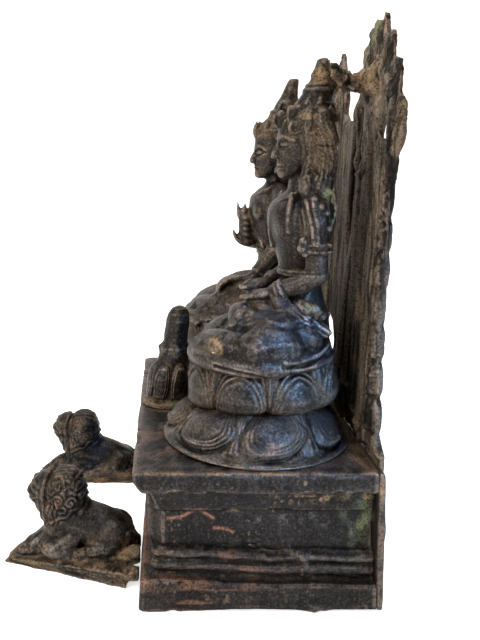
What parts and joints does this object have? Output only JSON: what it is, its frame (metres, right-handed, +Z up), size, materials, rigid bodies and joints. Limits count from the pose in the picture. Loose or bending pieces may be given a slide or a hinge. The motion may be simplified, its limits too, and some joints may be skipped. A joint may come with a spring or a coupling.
{
  "type": "shiva and parvati figure",
  "caption": "Dark cast bronze shrine: a seated god and goddess on double lotus seats on a moulded plinth, before a lobed flaming back plate, with a small pillar and crouching lions.",
  "frame": {"origin": "middle of the plinth's flat underside", "axes": "+Z up, -Y to the front where the lions lie, +X to the side of the goddess; millimetres in the source, metres in the packed files"},
  "size_m": [0.198, 0.2102, 0.2985],
  "materials": {
    "plinth_bronze": "dark worn patina, copper showing on the edges, earth in the recesses",
    "figure_bronze": "dark patina rubbed to a soft sheen, earth in the carving",
    "aureole_bronze": "rough brown patina with earth and a little green in the grooves",
    "lion_bronze": "dark patina, pale crust where the slabs join"
  },
  "bodies": {
    "root": {"plinth": "plinth_bronze", "parvati": "figure_bronze", "shiva": "figure_bronze", "aureole": "aureole_bronze", "linga": "figure_bronze", "lion_left": "lion_bronze", "lion_right": "lion_bronze"}
  },
  "joints": []
}
